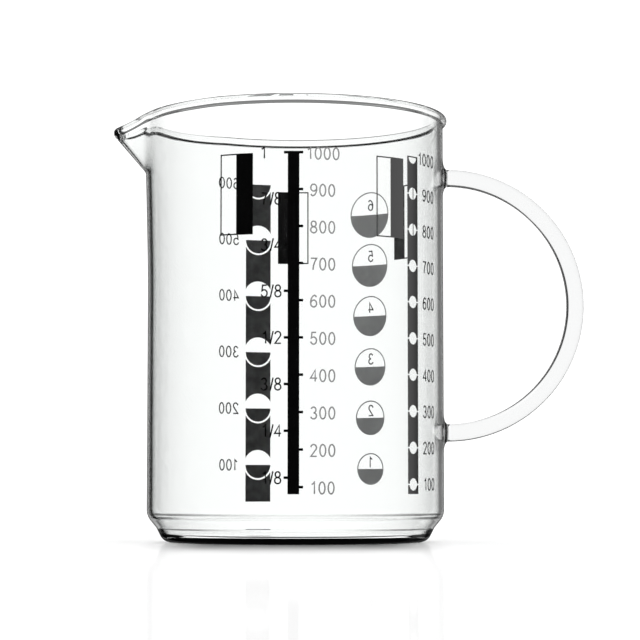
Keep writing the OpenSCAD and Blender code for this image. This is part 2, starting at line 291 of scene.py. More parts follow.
def vessel_section(a):
    """Section of the glass at an angle from the spout, as points in the row frame, from the axis
    under the foot, up the outside, over the bead and down the inside to the axis again."""
    out = Vector((-math.cos(math.radians(a)), -math.sin(math.radians(a))))
    points = []

    def turned(pairs):
        for r, z in pairs:
            points.append(Vector((out.x * r, out.y * r, z)))

    # Base with a shallow hollow, then the foot, the waist and the shoulder
    turned([(REST_R * s, HOLLOW_H * (1 - s ** HOLLOW_POWER)) for s in HOLLOW_SHARES])
    foot = arc((REST_R, FOOT_EDGE_R), FOOT_EDGE_R, -math.pi / 2, FOOT_LEAN - math.pi / 2, FOOT_STEPS)
    shoulder_at = (WALL_R - SHOULDER_R, BASE_H)
    shoulder = arc(shoulder_at, SHOULDER_R, STEP_LEAN - math.pi / 2, 0, SHOULDER_STEPS)
    turned(foot)
    turned(rounded_corner(foot[-1], (WAIST_AT_R, FOOT_H), shoulder[0], WAIST_R, WAIST_STEPS))
    turned(shoulder)

    # Outside of the wall: even rows up to the spout, then rows along its lean
    dip = dip_at(a)
    top = WALL_TOP_Z - dip
    rows = [(BASE_H + (SPOUT_Z - BASE_H) * i / WALL_ROWS, 0.0) for i in range(1, WALL_ROWS + 1)]
    rows += [
        (SPOUT_Z + (top - SPOUT_Z) * i / SPOUT_ROWS, i / SPOUT_ROWS) for i in range(1, SPOUT_ROWS + 1)
    ]

    def across(z, share, offset, height):
        along = plan(a + PROBE_ANGLE, z, share) - plan(a - PROBE_ANGLE, z, share)
        normal = Vector((along.y, -along.x)).normalized()
        at = plan(a, z, share) + normal * offset
        points.append(Vector((at.x, at.y, height)))

    for z, share in rows:
        across(z, share, 0.0, z)
    # Fillet and bead, laid out across the wall
    crease = arc((CREASE_R, -CREASE_DROP), CREASE_R, math.pi, CREASE_TURN + math.pi, CREASE_STEPS)
    bead = arc((BEAD_MID, 0.0), BEAD_R, CREASE_TURN, math.pi, BEAD_STEPS)
    for offset, rise in crease[1:] + bead[1:]:
        across(top, 1.0, offset, BEAD_Z - dip + rise)
    # Inside of the wall
    for z, share in reversed(rows):
        across(z, share, -WALL_T, z)
    inner_shoulder = arc(
        shoulder_at, SHOULDER_R - WALL_T, 0, STEP_LEAN - math.pi / 2, SHOULDER_STEPS
    )
    inner_corner = arc(
        (CORNER_R, FLOOR_T + FLOOR_CORNER_R), FLOOR_CORNER_R,
        FOOT_LEAN - math.pi / 2, -math.pi / 2, FOOT_STEPS,
    )
    inner_waist = (INNER_WAIST_R, INNER_WAIST_Z)
    turned(inner_shoulder)
    turned(
        rounded_corner(inner_shoulder[-1], inner_waist, inner_corner[0], WAIST_R + WALL_T, WAIST_STEPS)
    )
    turned(inner_corner)
    turned([(CORNER_R * s, FLOOR_T) for s in FLOOR_SHARES])
    return points


def vessel_angles():
    """Angles round the vessel, closest at the spout's tip."""
    near = [NEAR_ANGLE * (i / NEAR_COLUMNS) ** NEAR_POWER for i in range(NEAR_COLUMNS + 1)]
    far = [NEAR_ANGLE + FAR_ANGLE * (i / FAR_COLUMNS) ** FAR_POWER for i in range(1, FAR_COLUMNS + 1)]
    half = near + far
    return [-x for x in reversed(half[1:-1])] + half


def new_object(name, mesh):
    obj = bpy.data.objects.new(name, mesh)
    scene.collection.objects.link(obj)
    return obj


def smooth_object(name, verts, faces):
    """Smooth object of a closed mesh whose faces all look outwards."""
    mesh = bpy.data.meshes.new(name)
    mesh.from_pydata(verts, [], faces)
    bm = bmesh.new()
    bm.from_mesh(mesh)
    bmesh.ops.recalc_face_normals(bm, faces=bm.faces)
    bm.to_mesh(mesh)
    bm.free()
    mesh.polygons.foreach_set("use_smooth", [True] * len(mesh.polygons))
    mesh.update()
    return new_object(name, mesh)


def lathe(name, sections):
    """Closed mesh through sections that all start and end on the axis."""
    size = len(sections[0])
    verts = [sections[0][0] * MM, sections[0][-1] * MM]
    for s in sections:
        verts += [p * MM for p in s[1:-1]]
    inner = size - 2
    faces = []
    count = len(sections)
    for j in range(count):
        k = (j + 1) % count
        first, second = 2 + j * inner, 2 + k * inner
        faces.append((0, second, first))
        for i in range(inner - 1):
            faces.append((first + i, second + i, second + i + 1, first + i + 1))
        faces.append((1, first + inner - 1, second + inner - 1))
    return smooth_object(name, verts, faces)


def make_vessel():
    return lathe("vessel_glass", [vessel_section(a) for a in vessel_angles()])


# Handle: a bent rod whose ends flare out onto the wall

def tube(name, rings):
    """Closed mesh through rings of equal size; the first and last ring are single points."""
    around = len(rings[1])
    body = rings[1:-1]
    verts = [rings[0][0] * MM, rings[-1][0] * MM]
    for ring in body:
        verts += [p * MM for p in ring]
    faces = []
    for j in range(len(body) - 1):
        a, b = 2 + j * around, 2 + (j + 1) * around
        for k in range(around):
            n = (k + 1) % around
            faces.append((a + k, a + n, b + n, b + k))
    last = 2 + (len(body) - 1) * around
    for k in range(around):
        n = (k + 1) % around
        faces.append((0, 2 + n, 2 + k))
        faces.append((1, last + k, last + n))
    return smooth_object(name, verts, faces)


def make_weld(name, z):
    """Flare from the wall to the rod's end, seated on the round wall."""
    end_x = WALL_R + WELD_L - SEAM
    rings = [[Vector((WALL_R + SEAM, 0.0, z))]]
    profile = [(WELD_D / 2 * share, 0.0, 1.0) for share in WELD_ROOT_SHARES]
    for i in range(WELD_STEPS + 1):
        t = i / WELD_STEPS * math.pi / 2
        radius = ROD_R + (WELD_D / 2 - ROD_R) * (1 - math.sin(t))
        profile.append((radius, WELD_L * (1 - math.cos(t)), (1 - i / WELD_STEPS) ** 2))
    profile += [(ROD_R * share, WELD_L, 0.0) for share in WELD_END_SHARES]
    for radius, lift, cling in profile:
        ring = []
        for turn in TURNS:
            y = radius * math.sin(turn)
            seat = math.sqrt(WALL_R ** 2 - y * y) - WALL_R
            x = min(end_x, WALL_R + SEAM + lift + seat * cling)
            ring.append(Vector((x, y, z + radius * math.cos(turn))))
        rings.append(ring)
    rings.append([Vector((end_x, 0.0, z))])
    return tube(name, rings)


def make_rod():
    middle_z = (UPPER_WELD_Z + LOWER_WELD_Z) / 2
    bend = (UPPER_WELD_Z - LOWER_WELD_Z) / 2
    end_x = WALL_R + WELD_L

    def ring_at(t, size):
        radii = [(bend + size * math.cos(turn), size * math.sin(turn)) for turn in TURNS]
        return [
            Vector((end_x + r * math.cos(t), y, middle_z + r * math.sin(t))) for r, y in radii
        ]

    start, end = math.pi / 2, -math.pi / 2
    rings = [ring_at(start, 0.0)[:1], ring_at(start, ROD_R * ROD_END_SHARE)]
    rings += [ring_at(start + (end - start) * i / ROD_STEPS, ROD_R) for i in range(ROD_STEPS + 1)]
    rings += [ring_at(end, ROD_R * ROD_END_SHARE), ring_at(end, 0.0)[:1]]
    return tube("handle_glass", rings)


# Prints: flat outlines laid on the wall

def on_wall(at, u, z, r):
    a = math.radians(at) + u / WALL_R
    return Vector((r * math.sin(a), -r * math.cos(a), z))


def film_from_bmesh(name, bm, at):
    """Wraps a flat, filled mesh (u, z in millimetres) on the wall as a thin film, closed all round."""
    bmesh.ops.triangulate(bm, faces=bm.faces[:])
    bm.verts.index_update()
    count = len(bm.verts)
    outer = [on_wall(at, v.co.x, v.co.y, WALL_R + FILM_OUT) * MM for v in bm.verts]
    inner = [on_wall(at, v.co.x, v.co.y, WALL_R - FILM_IN) * MM for v in bm.verts]
    faces = []
    for f in bm.faces:
        ids = [v.index for v in f.verts]
        if f.normal.z < 0:
            ids.reverse()
        faces.append(ids)
        faces.append([i + count for i in reversed(ids)])
    for e in bm.edges:
        if len(e.link_faces) == 1:
            loop = e.link_loops[0]
            a, b = loop.vert.index, loop.link_loop_next.vert.index
            if loop.face.normal.z < 0:
                a, b = b, a
            faces.append([b, a, a + count, b + count])
    bm.free()
    mesh = bpy.data.meshes.new(name)
    mesh.from_pydata(outer + inner, [], faces)
    mesh.update()
    return new_object(name, mesh)


def slice_strips(bm):
    """Cuts all faces along even lines so that they bend with the wall."""
    low = min(v.co.x for v in bm.verts)
    high = max(v.co.x for v in bm.verts)
    at = low + STRIP_W
    while at < high:
        geom = bm.verts[:] + bm.edges[:] + bm.faces[:]
        bmesh.ops.bisect_plane(
            bm, geom=geom, plane_co=(at, 0, 0), plane_no=(1, 0, 0), dist=CUT_GAP
        )
        at += STRIP_W


def film(name, outlines, at):
    """Film of filled outlines, whose points are arc lengths and heights."""
    bm = bmesh.new()
    for outline in outlines:
        bm.faces.new([bm.verts.new((u, z, 0.0)) for u, z in outline])
    slice_strips(bm)
    return film_from_bmesh(name, bm, at)


def curve(cx, cy, rx, ry, start, end, steps=CURVE_STEPS):
    """Points of an arc of an ellipse, both ends included; angles in degrees."""
    return [
        (cx + rx * math.cos(math.radians(start + (end - start) * i / steps)),
         cy + ry * math.sin(math.radians(start + (end - start) * i / steps)))
        for i in range(steps + 1)
    ]


def circle_points(z, r, start, end, steps):
    """Points of an arc round a point on the middle line of a scale."""
    return curve(0, z, r, r, start, end, steps)


def box_outline(left, right, low, high):
    return [(left, low), (right, low), (right, high), (left, high)]


def litre_z(share):
    return LITRE_ZERO + LITRE_STEP * LITRE_LINES * share


def sugar_z(line):
    return FIRST_Z + SUGAR_LIFT + LITRE_STEP * line


def flour_z(line):
    return FLOUR_FIRST_Z + FLOUR_STEP * line


def make_litre_bar():
    """Bar with the ticks of the lines on its right and those of the eighths on its left."""
    half, tip, rise = LITRE_HALF_W, LITRE_HALF_W + TICK_L, TICK_W / 2
    right = [(half, BAR_END_Z)]
    for i in range(1, LITRE_LINES + 1):
        z = litre_z(i / LITRE_LINES)
        right += [(half, z - rise), (tip, z - rise), (tip, z + rise)]
        if i < LITRE_LINES:
            right.append((half, z + rise))
    left = []
    for i in range(len(EIGHTHS), 0, -1):
        z = litre_z(i / len(EIGHTHS))
        if i < len(EIGHTHS):
            left.append((-half, z + rise))
        left += [(-tip, z + rise), (-tip, z - rise), (-half, z - rise)]
    left.append((-half, BAR_END_Z))
    return film("litre_scale_print", [right + left], LITRE_AT)


def make_panel(name, at, right):
    """Title panel: its right half is filled and its left half outlined."""
    low = TOP_Z - PANEL_H
    left = right - PANEL_W
    middle = right - PANEL_W / 2
    w = LINE_W
    return film(
        name,
        [
            box_outline(middle, right, low, TOP_Z),
            box_outline(left, left + w, low, TOP_Z),
            box_outline(left + w, middle, low, low + w),
            box_outline(left + w, middle, TOP_Z - w, TOP_Z),
        ],
        at,
    )


def make_sugar_bar():
    """Bar with blank dots, each on a blank line across the bar."""
    half, slit = SUGAR_HALF_W, LINE_W / 2
    notch = math.degrees(math.asin(slit / SUGAR_DOT_R))
    last = LITRE_LINES - 1
    outlines = []
    start = [(-half, BAR_END_Z), (half, BAR_END_Z)]
    for i in range(last):
        z = sugar_z(i)
        under = circle_points(z, SUGAR_DOT_R, -notch, notch - 180, SUGAR_DOT_STEPS)
        over = circle_points(z, SUGAR_DOT_R, 180 - notch, notch, SUGAR_DOT_STEPS)
        outlines.append(start + [(half, z - slit)] + under + [(-half, z - slit)])
        start = [(-half, z + slit)] + over + [(half, z + slit)]
    z = sugar_z(last)
    hole = circle_points(z, SUGAR_DOT_R, 0, -180, SUGAR_DOT_STEPS)
    outlines.append(start + [(half, z)] + hole + [(-half, z)])
    outlines.append(box_outline(-half, half, z, z + LINE_W))
    return film("sugar_scale_print", outlines, SUGAR_AT)


def make_flour_bar():
    """Wide bar with half discs at the lines, each set off by a blank ring."""
    half, big = FLOUR_HALF_W, FLOUR_HALF_W + FLOUR_RING_W
    side = math.degrees(math.acos(half / big))
    outlines = []
    start = [(-half, FLOUR_END_Z), (half, FLOUR_END_Z)]
    for i in range(FLOUR_LINES):
        z = flour_z(i)
        outlines.append(start + circle_points(z, big, -side, side - 180, FLOUR_DISC_STEPS))
        outlines.append(circle_points(z, half, 180, 360, FLOUR_DISC_STEPS))
        start = circle_points(z, big, 180 - side, side, FLOUR_DISC_STEPS)
    return film("flour_scale_print", outlines, FLOUR_AT)


def cup_size(count):
    """Radius of a cup mark and the height of its middle."""
    share = (count - 1) / (CUPS - 1)
    r = (CUP_FIRST_D + (CUP_LAST_D - CUP_FIRST_D) * share) / 2
    return r, CUP_FIRST_Z + (CUP_LAST_Z - CUP_FIRST_Z) * share


def make_cup_mark(count):
    """Circle whose lower half is filled and whose upper half is a line."""
    r, z = cup_size(count)
    inner = r - LINE_W
    lower = circle_points(z, r, 180, 360, CUP_STEPS) + [(inner, z), (-inner, z)]
    upper = circle_points(z, r, 0, 180, CUP_STEPS) + circle_points(z, inner, 180, 0, CUP_STEPS)
    return film(f"cup_print_{count}", [lower, upper], CUP_AT)


# Figures of the scales, drawn as strokes in a box one high
SIX = [
    curve(0.28, 0.31, 0.23, 0.27, 0, 360, 28),
    curve(0.40, 0.40, 0.355, 0.56, 184, 98, 14) + [(0.46, 0.89), (0.49, 0.80)],
]
STROKES = {
    "0": [curve(0.28, 0.50, 0.23, 0.46, 0, 360, 32)],
    "1": [[(0.12, 0.77), (0.24, 0.83), (0.34, 0.96), (0.34, 0.04)]],
    "2": [curve(0.28, 0.72, 0.22, 0.24, 172, -35) + [(0.06, 0.04), (0.52, 0.04)]],
    "3": [curve(0.27, 0.735, 0.19, 0.225, 160, -90), curve(0.27, 0.275, 0.23, 0.235, 90, -165)],
    "4": [[(0.40, 0.04), (0.40, 0.94), (0.04, 0.30), (0.54, 0.30)]],
    "5": [[(0.48, 0.96), (0.15, 0.96), (0.09, 0.52)] + curve(0.27, 0.32, 0.235, 0.28, 125, -165)],
    "6": SIX,
    "7": [[(0.05, 0.95), (0.51, 0.95), (0.38, 0.70), (0.27, 0.40), (0.22, 0.04)]],
    "8": [curve(0.28, 0.745, 0.19, 0.215, 0, 360, 26), curve(0.28, 0.275, 0.235, 0.235, 0, 360, 28)],
    "9": [[(0.56 - x, 1 - y) for x, y in stroke] for stroke in SIX],
    "/": [[(0.04, -0.02), (0.27, 1.0)]],
}


def add_stroke(bm, points, width):
    """Adds a band of even width along a line of points, mitred at its corners."""
    closed = math.dist(points[0], points[-1]) < CLOSED_GAP
    line = [Vector(p) for p in (points[:-1] if closed else points)]
    count = len(line)
    sides = []
    for i, p in enumerate(line):
        before = line[i - 1] if closed or i else p - (line[1] - p)
        after = line[(i + 1) % count] if closed or i < count - 1 else p + (p - line[-2])
        u = (p - before).normalized()
        w = (after - p).normalized()
        across = Vector((-(u + w).y, (u + w).x)).normalized()
        reach = across * (width / 2 / max(LEAST_MITRE, across.dot(Vector((-u.y, u.x)))))
        sides.append([bm.verts.new((*at, 0.0)) for at in (p + reach, p - reach)])
    for i in range(count if closed else count - 1):
        (a, b), (c, d) = sides[i], sides[(i + 1) % count]
        bm.faces.new((b, d, c, a))


def make_number(name, text, at, u, z, height=FIGURE_H, align="CENTER"):
    """A printed number at an arc length u from an azimuth, with the middle of its figures at z."""
    pitches = [PITCH_SHARES.get(c, PITCH_SHARE) * height for c in text]
    width = sum(pitches) - GAP_SHARE * height
    left = u - {"LEFT": 0.0, "CENTER": width / 2, "RIGHT": width}[align]
    bm = bmesh.new()
    for c, pitch in zip(text, pitches):
        for stroke in STROKES[c]:
            line = [(left + x * height, z + (y - 0.5) * height) for x, y in stroke]
            add_stroke(bm, line, STROKE_SHARE * height)
        left += pitch
    return film_from_bmesh(name, bm, at)


# Materials
GLASS_IOR = 1.47
ENAMEL_IOR = 1.5
# Slow waves: how far they are drawn out upwards, and their depth
WAVE_STRETCH = 0.35
WAVE_DEPTH = 0.2
# Density of the glass for light that runs along inside it, per metre
ABSORPTION = 8.0
# Streaks round the welds: their width, how far they are drawn out upwards, where they fade, and
# their height as a multiple of the slow waves
STREAK_W = 0.8
STREAK_STRETCH = 0.12
STREAK_FROM = 6.5
STREAK_TO = 9.5
STREAK_H = 45.0
# Where the painted shade of grazing edges starts, as a share of the turn away from the eye
GRAZING = 0.6
# Painted shade on the face under the foot: black mixed into the glass there takes up the light that
# runs along the floor of the jug
REST_FROM = 0.4
REST_TO = 0.9
REST_DARK = 0.85
REST_GRAZING = 0.45
# Painted shade on flanks that look dark from the side: a band of heights, the turn at which the shade
# starts and is full, and how dark it is
FLANKS = (
    ((-1.0, -0.5, 1.4, 2.2), (0.42, 0.72), 0.95),
    ((1.2, 2.0, 4.6, 5.2), (0.64, 0.80), 0.97),
    ((4.4, 4.7, 5.0, 5.3), (0.10, 0.45), 0.65),
    ((8.2, 8.6, 9.0, 9.4), (0.33, 0.62), 0.75),
    ((9.4, 9.8, 10.1, 10.6), (-0.20, 0.50), 0.70),
)
# Painted dark line of shade on the crown of the rim, which also shows through the wall in front of it
CROWN = ((151.9, 152.2, 153.0, 154.0), (0.20, 0.60), 0.70)
# Painted shade: a dark ring at the neck of a weld, as limits along the rod
NECK = [WALL_R + offset for offset in (0.1, 0.35, 0.95, 1.3)]
# Enamel: the scales of its mottle and grain, the depth of the grain, and the spread of the gloss
MOTTLE_SCALE = 260
GRAIN_SCALE = 2600
GRAIN_DEPTH = 0.02
GLOSS_LESS = 0.04
GLOSS_MORE = 0.06


def node_material(name):
    mat = bpy.data.materials.new(name)
    mat.use_nodes = True
    return mat, mat.node_tree.nodes, mat.node_tree.links


def ramp_node(tree, source, first, last, start, end):
    """Smooth step of a value from start to end between two limits."""
    node = tree.nodes.new("ShaderNodeMapRange")
    node.interpolation_type = "SMOOTHSTEP"
    node.inputs["From Min"].default_value = first
    node.inputs["From Max"].default_value = last
    node.inputs["To Min"].default_value = start
    node.inputs["To Max"].default_value = end
    tree.links.new(source, node.inputs["Value"])
    return node.outputs["Result"]


def math_node(tree, operation, first, second=None):
    node = tree.nodes.new("ShaderNodeMath")
    node.operation = operation
    for socket, value in zip(node.inputs, (first, second)):
        if isinstance(value, (int, float)):
            socket.default_value = value
        elif value is not None:
            tree.links.new(value, socket)
    return node.outputs["Value"]


def band_node(tree, source, first, second, third, fourth):
    """One between the second and third limits, and nothing outside the first and fourth."""
    rise = ramp_node(tree, source, first * MM, second * MM, 0.0, 1.0)
    fall = ramp_node(tree, source, third * MM, fourth * MM, 1.0, 0.0)
    return math_node(tree, "MULTIPLY", rise, fall)


def flank_node(tree, split, turned, limits, turn, most):
    """Dark of a band of heights where the surface turns away from the eye."""
    band = band_node(tree, split.outputs["Z"], *limits)
    return math_node(tree, "MULTIPLY", band, ramp_node(tree, turned, *turn, 0.0, most))


def weld_streaks(tree, place):
    """Height of the upright streaks that the flame leaves in the glass round the two welds."""
    squeeze = tree.nodes.new("ShaderNodeMapping")
    squeeze.inputs["Scale"].default_value = (1.0, 1.0, STREAK_STRETCH)
    noise = tree.nodes.new("ShaderNodeTexNoise")
    noise.inputs["Scale"].default_value = 1 / (STREAK_W * MM)
    noise.inputs["Detail"].default_value = 1.0
    tree.links.new(place.outputs["Object"], squeeze.inputs["Vector"])
    tree.links.new(squeeze.outputs["Vector"], noise.inputs["Vector"])
    near = 0.0
    for z in (UPPER_WELD_Z, LOWER_WELD_Z):
        far = tree.nodes.new("ShaderNodeVectorMath")
        far.operation = "DISTANCE"
        far.inputs[1].default_value = (WALL_R * MM, 0.0, z * MM)
        tree.links.new(place.outputs["Object"], far.inputs[0])
        spot = ramp_node(tree, far.outputs["Value"], STREAK_FROM * MM, STREAK_TO * MM, STREAK_H, 0.0)
        near = math_node(tree, "ADD", spot, near)
    return math_node(tree, "MULTIPLY", noise.outputs["Fac"], near)


def dark_edges(mat, place, edge, neck):
    """Mixes black into a glass as painted shade: at grazing edges, on the flanks and at the neck of a
    weld for rays that haven't passed through glass, and under the foot and on the crown of the rim for
    all rays."""
    tree = mat.node_tree
    nodes, links = tree.nodes, tree.links
    facing = nodes.new("ShaderNodeLayerWeight")
    path = nodes.new("ShaderNodeLightPath")
    split = nodes.new("ShaderNodeSeparateXYZ")
    links.new(place.outputs["Object"], split.inputs["Vector"])
    turned = facing.outputs["Facing"]
    outline = ramp_node(tree, turned, GRAZING, 1.0, 0.0, edge)
    for flank in FLANKS:
        outline = math_node(tree, "MAXIMUM", outline, flank_node(tree, split, turned, *flank))
    if neck:
        collar = math_node(tree, "MULTIPLY", band_node(tree, split.outputs["X"], *NECK), neck)
        outline = math_node(tree, "MAXIMUM", outline, collar)
    for depth in ("Transmission Depth", "Diffuse Depth"):
        later = math_node(tree, "MINIMUM", path.outputs[depth], 1.0)
        outline = math_node(tree, "MULTIPLY", outline, math_node(tree, "SUBTRACT", 1.0, later))
    low = ramp_node(tree, split.outputs["Z"], REST_FROM * MM, REST_TO * MM, REST_DARK, 0.0)
    flat = ramp_node(tree, turned, REST_GRAZING, GRAZING, 0.0, 1.0)
    resting = math_node(tree, "MULTIPLY", low, flat)
    resting = math_node(tree, "MAXIMUM", resting, flank_node(tree, split, turned, *CROWN))
    dark = nodes.new("ShaderNodeBsdfDiffuse")
    dark.inputs["Color"].default_value = (0.0, 0.0, 0.0, 1)
    both = nodes.new("ShaderNodeMixShader")
    links.new(math_node(tree, "MAXIMUM", outline, resting), both.inputs["Fac"])
    links.new(nodes["Principled BSDF"].outputs["BSDF"], both.inputs[1])
    links.new(dark.outputs["BSDF"], both.inputs[2])
    links.new(both.outputs["Shader"], nodes["Material Output"].inputs["Surface"])


def glass_material(name, colour, wave_w, wave, absorb=0.0, edge=0.0, neck=0.0):
    """Clear glass whose surface has the slow waves of drawn and fire-polished glass. It takes up light
    on long ways inside it, and painted shade darkens it at grazing edges and at the neck of a weld."""
    mat, nodes, links = node_material(name)
    bsdf = nodes["Principled BSDF"]
    bsdf.inputs["Base Color"].default_value = (*colour, 1)
    bsdf.inputs["Transmission Weight"].default_value = 1.0
    bsdf.inputs["Roughness"].default_value = 0.0
    bsdf.inputs["IOR"].default_value = GLASS_IOR
    place = nodes.new("ShaderNodeTexCoord")
    stretch = nodes.new("ShaderNodeMapping")
    stretch.inputs["Scale"].default_value = (1.0, 1.0, WAVE_STRETCH)
    noise = nodes.new("ShaderNodeTexNoise")
    noise.inputs["Scale"].default_value = 1 / (wave_w * MM)
    noise.inputs["Detail"].default_value = 1.5
    bump = nodes.new("ShaderNodeBump")
    bump.inputs["Strength"].default_value = wave
    bump.inputs["Distance"].default_value = WAVE_DEPTH * MM
    links.new(place.outputs["Object"], stretch.inputs["Vector"])
    links.new(stretch.outputs["Vector"], noise.inputs["Vector"])
    height = noise.outputs["Fac"]
    if edge:
        height = math_node(mat.node_tree, "ADD", height, weld_streaks(mat.node_tree, place))
        dark_edges(mat, place, edge, neck)
    links.new(height, bump.inputs["Height"])
    links.new(bump.outputs["Normal"], bsdf.inputs["Normal"])
    if absorb:
        body = nodes.new("ShaderNodeVolumeAbsorption")
        body.inputs["Color"].default_value = (0.0, 0.0, 0.0, 1)
        body.inputs["Density"].default_value = absorb
        links.new(body.outputs["Volume"], nodes["Material Output"].inputs["Volume"])
    return mat


def enamel_material(name, dark, light, rough):
    """Fired enamel: an even colour with the faint mottle and grain of a screen print."""
    mat, nodes, links = node_material(name)
    bsdf = nodes["Principled BSDF"]
    bsdf.inputs["IOR"].default_value = ENAMEL_IOR
    place = nodes.new("ShaderNodeTexCoord")
    mottle = nodes.new("ShaderNodeTexNoise")
    mottle.inputs["Scale"].default_value = MOTTLE_SCALE
    mottle.inputs["Detail"].default_value = 3
    ramp = nodes.new("ShaderNodeValToRGB")
    ramp.color_ramp.elements[0].position = 0.35
    ramp.color_ramp.elements[0].color = (*dark, 1)
    ramp.color_ramp.elements[1].position = 0.75
    ramp.color_ramp.elements[1].color = (*light, 1)
    grain = nodes.new("ShaderNodeTexNoise")
    grain.inputs["Scale"].default_value = GRAIN_SCALE
    grain.inputs["Detail"].default_value = 2
    gloss = nodes.new("ShaderNodeMapRange")
    gloss.inputs["To Min"].default_value = rough - GLOSS_LESS
    gloss.inputs["To Max"].default_value = rough + GLOSS_MORE
    bump = nodes.new("ShaderNodeBump")
    bump.inputs["Strength"].default_value = 0.05
    bump.inputs["Distance"].default_value = GRAIN_DEPTH * MM
    for node in (mottle, grain):
        links.new(place.outputs["Object"], node.inputs["Vector"])
    links.new(mottle.outputs["Fac"], ramp.inputs["Fac"])
    links.new(ramp.outputs["Color"], bsdf.inputs["Base Color"])
    links.new(grain.outputs["Fac"], gloss.inputs["Value"])
    links.new(gloss.outputs["Result"], bsdf.inputs["Roughness"])
    links.new(grain.outputs["Fac"], bump.inputs["Height"])
    links.new(bump.outputs["Normal"], bsdf.inputs["Normal"])
    return mat


glass = glass_material(
    "clear_glass", (0.975, 0.985, 0.98), wave_w=16, wave=0.02, absorb=ABSORPTION, edge=0.95
)
weld_glass = glass_material(
    "weld_glass", (0.98, 0.985, 0.985), wave_w=5, wave=0.02, absorb=ABSORPTION, edge=0.98, neck=0.95
)
handle_glass = glass_material("handle_glass", (0.985, 0.99, 0.99), wave_w=14, wave=0.1)
black = enamel_material("black_enamel", (0.0006, 0.0006, 0.0007), (0.0014, 0.0014, 0.0016), 0.16)
grey = enamel_material("grey_enamel", (0.21, 0.21, 0.212), (0.26, 0.26, 0.262), 0.18)
# Prints on the far side, seen through two walls: paler copies of the enamels, with painted light in
# their colour
back_black_painted_light = enamel_material("back_black_enamel", (0.06, 0.06, 0.061), (0.10, 0.10, 0.101), 0.16)
back_grey_painted_light = enamel_material("back_grey_enamel", (0.34, 0.34, 0.343), (0.41, 0.41, 0.413), 0.18)


def dress(obj, mat, slot, *nodes):
    """Gives a piece its material and hides the nodes that it stands in for; the slot is not used."""
    obj.data.materials.append(mat)
    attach(obj, "root")
    if nodes:
        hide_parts(*nodes)
    return obj


vessel = dress(make_vessel(), glass, "clear_glass", "glass_vessel")
handle = dress(make_rod(), handle_glass, "clear_glass", "handle_rod")
welds = [
    dress(make_weld("upper_weld_glass", UPPER_WELD_Z), weld_glass, "clear_glass", "upper_handle_weld"),
    dress(make_weld("lower_weld_glass", LOWER_WELD_Z), weld_glass, "clear_glass", "lower_handle_weld"),
]
dress(make_litre_bar(), black, "black_enamel", "litre_scale_bar")
litre_panel = make_panel("litre_title_print", LITRE_AT, -LITRE_HALF_W - LITRE_PANEL_GAP)
dress(litre_panel, black, "black_enamel", "litre_title_panel")
sugar_bar = dress(make_sugar_bar(), black, "black_enamel", "sugar_scale_bar")
sugar_panel = make_panel("sugar_title_print", SUGAR_AT, -SUGAR_HALF_W - SUGAR_PANEL_GAP)
dress(sugar_panel, black, "black_enamel", "sugar_title_panel")
dress(make_flour_bar(), back_black_painted_light, "black_enamel", "flour_scale_bar")
flour_panel = make_panel("flour_title_print", FLOUR_AT, -FLOUR_HALF_W - FLOUR_PANEL_GAP)
dress(flour_panel, black, "black_enamel", "flour_title_panel")
cup_panel = make_panel("cup_title_print", CUP_AT, -CUP_LAST_D / 2 - CUP_PANEL_GAP)
dress(cup_panel, back_black_painted_light, "black_enamel", "cup_title_panel")
for count in range(1, CUPS + 1):
    dress(make_cup_mark(count), back_grey_painted_light, "grey_enamel", f"cup_mark_{count}")

# Numbers of the scales
for i in range(1, LITRE_LINES + 1):
    text = str(LINE_ML * i)
    u = LITRE_NUMBER_U if i < LITRE_LINES else LITRE_LAST_U
    z = litre_z(i / LITRE_LINES) - LITRE_NUMBER_DROP
    number = make_number(f"litre_number_{text}", text, LITRE_AT, u, z, align="LEFT")
    dress(number, grey, "black_enamel")
    z = sugar_z(i - 1)
    number = make_number(f"sugar_number_{text}", text, SUGAR_AT, SUGAR_NUMBER_U, z, align="RIGHT")
    dress(number, black, "black_enamel")
for i, text in enumerate(EIGHTHS, start=1):
    name = "litre_part_" + text.replace("/", "_")
    u = PART_U if i < len(EIGHTHS) else PART_LAST_U
    z = litre_z(i / len(EIGHTHS))
    dress(make_number(name, text, LITRE_AT, u, z, align="RIGHT"), black, "black_enamel")
for i in range(FLOUR_LINES):
    text = str(LINE_ML * (i + 1))
    z = flour_z(i)
    number = make_number(f"flour_number_{text}", text, FLOUR_AT, FLOUR_NUMBER_U, z, align="LEFT")
    dress(number, back_black_painted_light, "black_enamel")
for count in range(1, CUPS + 1):
    r, z = cup_size(count)
    z += r * CUP_NUMBER_SHARE
    number = make_number(f"cup_number_{count}", str(count), CUP_AT, 0.0, z, CUP_FIGURE_H)
    dress(number, back_black_painted_light, "black_enamel")

# Camera, fitted to the photograph; sizes that end in PX are in its pixels
PHOTO_PX = 640
SENSOR_W = 36.0
CAMERA_Y = -810.0
CAMERA_Z = 20.2
FOCAL_PX = 2260.0
HORIZON_PX = 165.0
AXIS_PX = 24.4
camera_data = bpy.data.cameras.new("camera")
camera = bpy.data.objects.new("camera", camera_data)
scene.collection.objects.link(camera)
camera_data.sensor_width = SENSOR_W
camera_data.lens = FOCAL_PX * SENSOR_W / PHOTO_PX
camera_data.clip_start = 0.01
camera_data.clip_end = 100.0
camera.location = Vector((0.0, CAMERA_Y, CAMERA_Z)) * MM
camera.rotation_euler = (
    math.pi / 2 + math.atan(HORIZON_PX / FOCAL_PX), 0.0, -math.atan(AXIS_PX / FOCAL_PX)
)
scene.camera = camera


# Studio

